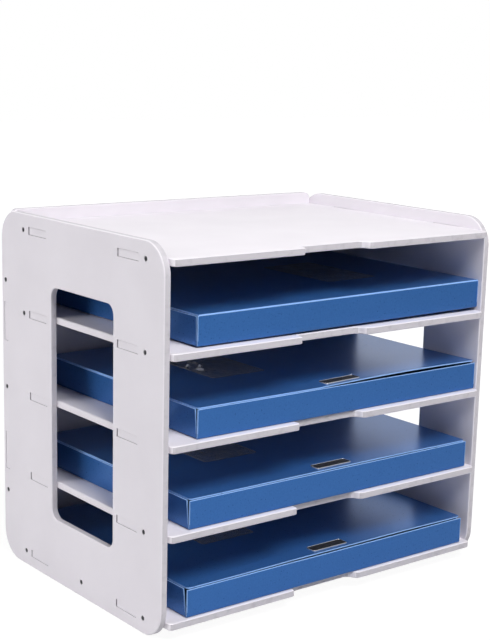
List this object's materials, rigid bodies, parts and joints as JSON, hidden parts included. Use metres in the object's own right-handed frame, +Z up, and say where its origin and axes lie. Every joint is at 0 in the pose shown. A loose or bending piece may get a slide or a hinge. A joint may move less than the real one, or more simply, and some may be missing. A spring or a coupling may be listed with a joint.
{
  "type": "document organizer",
  "caption": "White board desk document rack with side windows and finger recesses, and a sliding, lidded blue document box in each bay",
  "frame": {"origin": "on the desk, midway across the rack's width and depth", "axes": "+X to the rack's right, +Y to its closed back, +Z up"},
  "size_m": [0.35, 0.254, 0.315],
  "materials": {
    "white_board": "satin white foam board",
    "blue_sheet": "glossy blue polypropylene sheet",
    "name_plate": "black, polished",
    "clear_film": "clear film",
    "screw": "blackened steel"
  },
  "bodies": {
    "rack": {"left_side_panel": "white_board", "right_side_panel": "white_board", "bottom_board": "white_board", "lower_shelf": "white_board", "middle_shelf": "white_board", "upper_shelf": "white_board", "top_board": "white_board", "back_panel": "white_board", "left_shelf_screws": "screw", "left_back_screws": "screw", "right_shelf_screws": "screw", "right_back_screws": "screw"},
    "bottom_box": {"bottom_box_tray": "blue_sheet"},
    "bottom_box_lid": {"bottom_box_lid": "blue_sheet", "bottom_box_plate": "name_plate", "bottom_box_pocket": "clear_film"},
    "lower_box": {"lower_box_tray": "blue_sheet"},
    "lower_box_lid": {"lower_box_lid": "blue_sheet", "lower_box_plate": "name_plate", "lower_box_pocket": "clear_film"},
    "middle_box": {"middle_box_tray": "blue_sheet"},
    "middle_box_lid": {"middle_box_lid": "blue_sheet", "middle_box_plate": "name_plate", "middle_box_pocket": "clear_film"},
    "upper_box": {"upper_box_tray": "blue_sheet"},
    "upper_box_lid": {"upper_box_lid": "blue_sheet", "upper_box_plate": "name_plate", "upper_box_pocket": "clear_film"}
  },
  "joints": [
    {"name": "bottom_box_slide", "type": "slide", "parent": "rack", "child": "bottom_box", "axis": [0, -1, 0], "range_m": [0, 0.1]},
    {"name": "bottom_box_lid_hinge", "type": "hinge", "parent": "bottom_box", "child": "bottom_box_lid", "pos_m": [0.00348, 0.10016, 0.0407], "axis": [-1, 0, 0], "range_deg": [0, 9]},
    {"name": "lower_box_slide", "type": "slide", "parent": "rack", "child": "lower_box", "axis": [0, -1, 0], "range_m": [0, 0.1]},
    {"name": "lower_box_lid_hinge", "type": "hinge", "parent": "lower_box", "child": "lower_box_lid", "pos_m": [0.00638, 0.10244, 0.1127], "axis": [-1, 0, 0], "range_deg": [0, 9]},
    {"name": "middle_box_slide", "type": "slide", "parent": "rack", "child": "middle_box", "axis": [0, -1, 0], "range_m": [0, 0.1]},
    {"name": "middle_box_lid_hinge", "type": "hinge", "parent": "middle_box", "child": "middle_box_lid", "pos_m": [0.01377, 0.10377, 0.1847], "axis": [-1, 0, 0], "range_deg": [0, 9]},
    {"name": "upper_box_slide", "type": "slide", "parent": "rack", "child": "upper_box", "axis": [0, -1, 0], "range_m": [0, 0.1]},
    {"name": "upper_box_lid_hinge", "type": "hinge", "parent": "upper_box", "child": "upper_box_lid", "pos_m": [0.01392, -0.11814, 0.2567], "axis": [1, 0, 0], "range_deg": [0, 9]}
  ]
}
